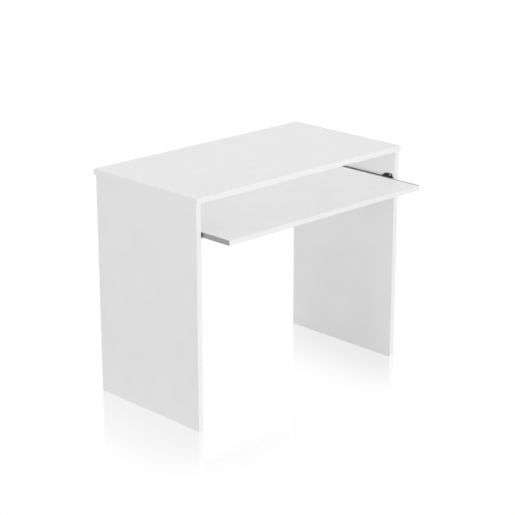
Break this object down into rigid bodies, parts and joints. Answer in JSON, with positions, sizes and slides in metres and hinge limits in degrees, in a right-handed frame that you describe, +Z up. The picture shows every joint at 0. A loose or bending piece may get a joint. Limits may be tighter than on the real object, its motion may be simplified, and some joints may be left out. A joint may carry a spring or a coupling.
{
  "type": "computer desk with keyboard tray",
  "caption": "Plain slab-sided computer desk with a flat top, a low back panel and a keyboard tray that slides out on roller slides under the top.",
  "frame": {"origin": "on the floor, at the centre of the whole desk's footprint with the tray pulled out to its stored position", "axes": "+X to the user's right along the desk's width, +Y to the back, +Z up; the user sits on the -Y side and the tray slides out along -Y"},
  "size_m": [0.9, 0.578, 0.737],
  "materials": {
    "melamine_board": "white melamine-faced chipboard, satin",
    "edge_band": "white ABS edge band, satin",
    "beech": "turned beech, raw",
    "cap_plastic": "white moulded plastic",
    "zinc_casting": "die-cast zinc, as cast",
    "zinc_plated_steel": "bright zinc plate",
    "rivet_steel": "zinc-plated, satin",
    "roller_nylon": "dark moulded nylon",
    "dark_rail": "dark grey powder coat",
    "grey_rail": "mid-grey epoxy coat"
  },
  "bodies": {
    "desk": {"back_panel": "melamine_board", "back_panel_cam_bolts": "zinc_plated_steel", "back_panel_cam_caps": "cap_plastic", "back_panel_cam_locks": "zinc_casting", "back_panel_dowels": "beech", "back_panel_edge_band": "edge_band", "left_cabinet_rail": "dark_rail", "left_cabinet_rail_screws": "zinc_plated_steel", "left_front_roller_rivet": "rivet_steel", "left_panel_cam_caps": "cap_plastic", "left_panel_cam_locks": "zinc_casting", "left_rail_ear_screw": "zinc_plated_steel", "left_side_panel": "melamine_board", "left_side_panel_bottom_edge_band": "edge_band", "left_side_panel_front_edge_band": "edge_band", "left_side_panel_rear_edge_band": "edge_band", "left_top_cam_bolts": "zinc_plated_steel", "left_top_dowels": "beech", "right_cabinet_rail": "dark_rail", "right_cabinet_rail_screws": "zinc_plated_steel", "right_front_roller_rivet": "rivet_steel", "right_panel_cam_caps": "cap_plastic", "right_panel_cam_locks": "zinc_casting", "right_rail_ear_screw": "zinc_plated_steel", "right_side_panel": "melamine_board", "right_side_panel_bottom_edge_band": "edge_band", "right_side_panel_front_edge_band": "edge_band", "right_side_panel_rear_edge_band": "edge_band", "right_top_cam_bolts": "zinc_plated_steel", "right_top_dowels": "beech", "top_board": "melamine_board", "top_end_edge_bands": "edge_band", "top_front_edge_band": "edge_band", "top_rear_edge_band": "edge_band"},
    "tray": {"left_rear_roller_rivet": "rivet_steel", "left_tray_rail": "grey_rail", "left_tray_rail_screws": "zinc_plated_steel", "right_rear_roller_rivet": "rivet_steel", "right_tray_rail": "grey_rail", "right_tray_rail_screws": "zinc_plated_steel", "tray_board": "melamine_board", "tray_end_edge_bands": "edge_band", "tray_front_edge_band": "edge_band", "tray_rear_edge_band": "edge_band"},
    "left_front_roller": {"left_front_roller": "roller_nylon"},
    "left_rear_roller": {"left_rear_roller": "roller_nylon"},
    "right_front_roller": {"right_front_roller": "roller_nylon"},
    "right_rear_roller": {"right_rear_roller": "roller_nylon"}
  },
  "joints": [
    {"name": "tray_slide", "type": "slide", "parent": "desk", "child": "tray", "axis": [0, -1, 0], "range_m": [-0.11, 0.14]},
    {"name": "left_front_roller_spin", "type": "hinge", "parent": "desk", "child": "left_front_roller", "pos_m": [-0.4237, -0.1705, 0.6207], "axis": [1, 0, 0], "continuous": true},
    {"name": "left_rear_roller_spin", "type": "hinge", "parent": "tray", "child": "left_rear_roller", "pos_m": [-0.4273, 0.0529, 0.621], "axis": [1, 0, 0], "continuous": true},
    {"name": "right_front_roller_spin", "type": "hinge", "parent": "desk", "child": "right_front_roller", "pos_m": [0.4237, -0.1705, 0.6207], "axis": [1, 0, 0], "continuous": true},
    {"name": "right_rear_roller_spin", "type": "hinge", "parent": "tray", "child": "right_rear_roller", "pos_m": [0.4273, 0.0529, 0.621], "axis": [1, 0, 0], "continuous": true}
  ],
  "couplings": [
    {"joint": "left_front_roller_spin", "follows": "tray_slide", "rad_per_m": 163.93},
    {"joint": "left_rear_roller_spin", "follows": "tray_slide", "rad_per_m": 131.58},
    {"joint": "right_front_roller_spin", "follows": "tray_slide", "rad_per_m": 163.93},
    {"joint": "right_rear_roller_spin", "follows": "tray_slide", "rad_per_m": 131.58}
  ]
}
